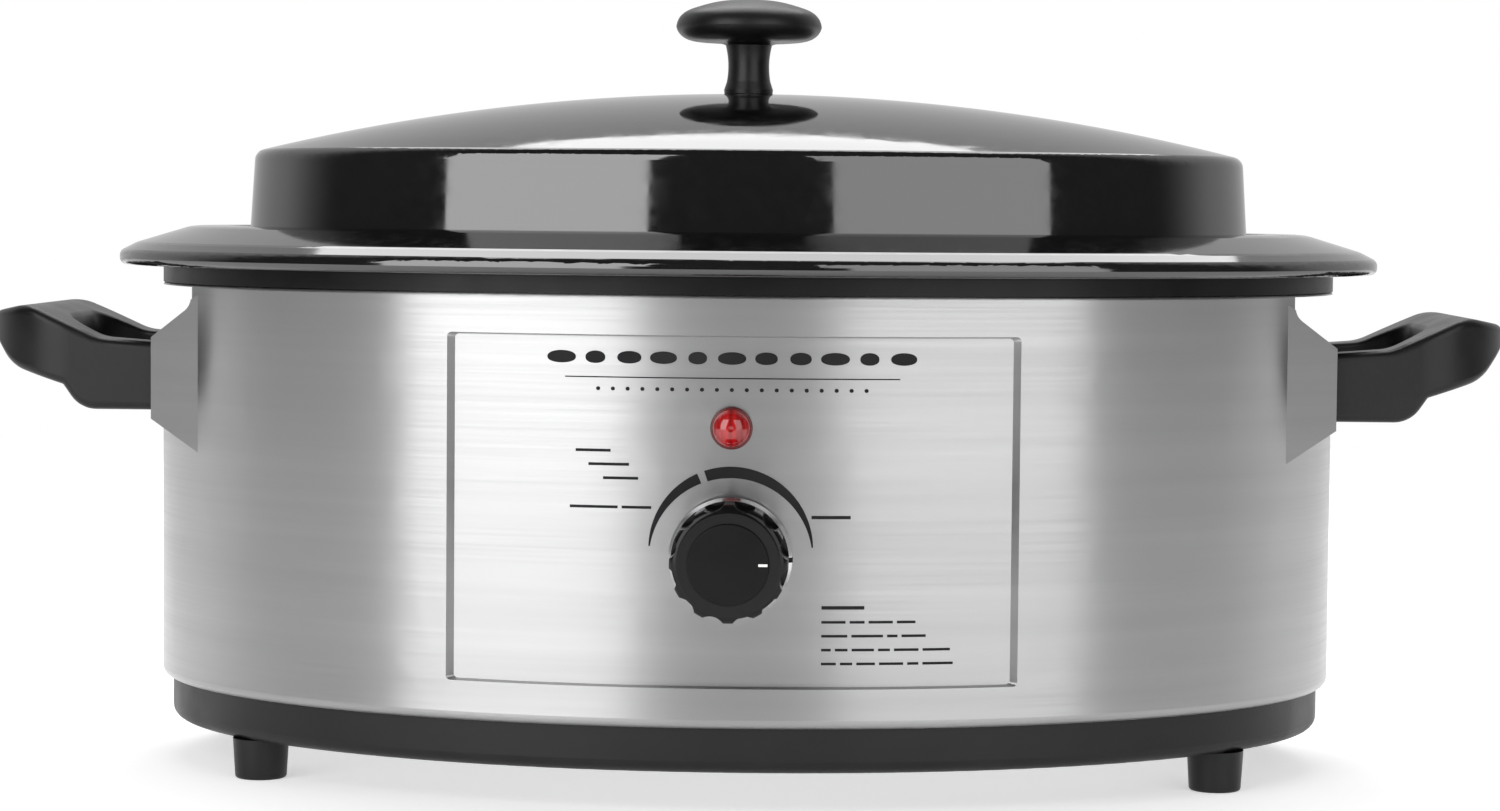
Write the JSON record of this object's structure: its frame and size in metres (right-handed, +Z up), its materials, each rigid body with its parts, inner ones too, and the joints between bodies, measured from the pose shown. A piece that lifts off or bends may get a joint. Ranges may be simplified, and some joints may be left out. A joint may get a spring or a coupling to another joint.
{
  "type": "hot stone heater",
  "caption": "Oval steel stone heater with a lift-out enamelled pan, domed lid with knob, loop handles, post feet and a dial with pilot lamp on a recessed panel.",
  "frame": {"origin": "on the body's vertical axis, on the surface that the feet stand on", "axes": "+X along the body's long axis, towards the right-hand handle as seen from the front; -Y out of the control panel; +Z up, out of the lid's knob"},
  "size_m": [0.4442, 0.2732, 0.2257],
  "materials": {
    "steel_shell": "brushed along the body, satin",
    "black_enamel": "glossy vitreous enamel",
    "ring_black": "satin moulded",
    "base_black": "satin moulded",
    "handle_black": "satin phenolic",
    "dial_black": "glossy moulded",
    "dial_matt": "matt moulded",
    "dial_bright": "bright plated",
    "mark_white": "painted inlay",
    "lamp_red": "clear red moulded",
    "lamp_trim": "dark moulded",
    "lamp_glass": "clear",
    "plated_steel": "zinc plated",
    "aluminised_steel": "mill finish",
    "brass": "machined",
    "mica": "pressed mica",
    "glass_fibre": "glass-fibre blanket",
    "white_ceramic": "unglazed",
    "thermostat_brown": "moulded",
    "lead_sleeve": "silicone sleeve"
  },
  "bodies": {
    "base": {"outer_shell": "steel_shell", "body_ring": "ring_black", "base_ring": "base_black", "foot_front_left": "base_black", "foot_front_right": "base_black", "foot_rear_left": "base_black", "foot_rear_right": "base_black", "handle_left": "handle_black", "handle_right": "handle_black", "cord_gland": "handle_black", "gland_nut": "handle_black", "lamp_lens": "lamp_red", "lamp_bezel": "lamp_trim", "lamp_bulb": "lamp_glass", "ring_screws": "plated_steel", "bottom_screws": "plated_steel", "foot_screws": "plated_steel", "handle_screws": "plated_steel", "handle_washers": "plated_steel", "tie_studs": "plated_steel", "tie_nuts": "plated_steel", "thermostat_nut": "plated_steel", "fuse_clip": "plated_steel", "heater_straps": "plated_steel", "lamp_nut": "plated_steel", "terminal_screws": "plated_steel", "thermostat_tabs": "plated_steel", "liner_well": "aluminised_steel", "bottom_plate": "aluminised_steel", "thermostat_bush": "brass", "heater_band": "mica", "insulation_wrap": "glass_fibre", "heater_terminals": "white_ceramic", "terminal_block": "white_ceramic", "thermal_fuse": "white_ceramic", "thermostat_body": "thermostat_brown", "lead_live": "lead_sleeve", "lead_cutout": "lead_sleeve", "lead_heater": "lead_sleeve", "lead_neutral": "lead_sleeve", "lamp_lead_live": "lead_sleeve", "lamp_lead_neutral": "lead_sleeve"},
    "pan": {"insert_pan": "black_enamel"},
    "lid": {"lid_shell": "black_enamel", "lid_knob": "handle_black", "lid_knob_insert": "brass", "lid_knob_washer": "plated_steel", "lid_knob_screw": "plated_steel"},
    "dial": {"dial_knob": "dial_black", "dial_skirt": "dial_bright", "dial_cap": "dial_matt", "dial_pointer": "mark_white", "dial_shaft": "plated_steel", "dial_clip": "plated_steel"}
  },
  "joints": [
    {"name": "pan_lift", "type": "slide", "parent": "base", "child": "pan", "axis": [0, 0, 1], "range_m": [0, 0.15]},
    {"name": "lid_lift", "type": "slide", "parent": "pan", "child": "lid", "axis": [0, 0, 1], "range_m": [0, 0.12]},
    {"name": "dial_turn", "type": "hinge", "parent": "base", "child": "dial", "pos_m": [0, -0.12, 0.07], "axis": [0, -1, 0], "range_deg": [0, 180]}
  ]
}
